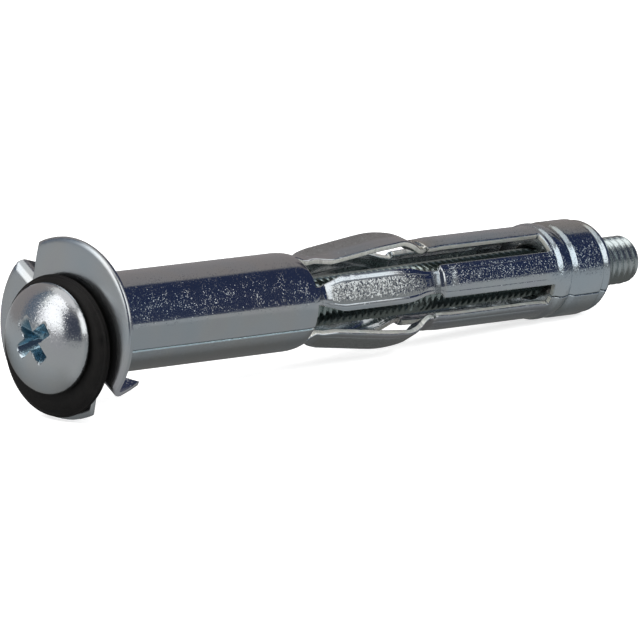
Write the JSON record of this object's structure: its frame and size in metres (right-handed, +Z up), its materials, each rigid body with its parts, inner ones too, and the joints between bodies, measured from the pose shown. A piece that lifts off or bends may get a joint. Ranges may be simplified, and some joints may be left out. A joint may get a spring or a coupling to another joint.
{
  "type": "hollow wall anchor",
  "caption": "Metal hollow wall anchor with a lobed flange, folding sheet steel legs, a crimped nut, a domed cross-recess screw and a black rubber ring.",
  "frame": {"origin": "centre of the bounding box at the surface that the anchor lies on", "axes": "+X along the anchor from head to nose, +Z up as it lies on the flange's rim and the collar"},
  "size_m": [0.0684, 0.014, 0.0141],
  "materials": {
    "zinc_sheet": "bright zinc plate with a bluish passivation",
    "zinc_nut": "bright zinc plate",
    "zinc_screw": "bright zinc plate with a bluish passivation",
    "black_rubber": "matte moulded rubber"
  },
  "bodies": {
    "anchor": {"sleeve": "zinc_sheet", "nut": "zinc_nut"},
    "ring": {"rubber_ring": "black_rubber"},
    "screw": {"screw": "zinc_screw"}
  },
  "joints": [
    {"name": "screw_advance", "type": "slide", "parent": "anchor", "child": "ring", "axis": [-0.9991, 0, 0.043], "range_m": [0, 0.0112]},
    {"name": "screw_turn", "type": "hinge", "parent": "ring", "child": "screw", "pos_m": [0.02601, 0, 0.00399], "axis": [-0.9991, 0, 0.043], "range_deg": [0, 5760]}
  ],
  "couplings": [
    {"joint": "screw_turn", "follows": "screw_advance", "rad_per_m": 8976}
  ]
}
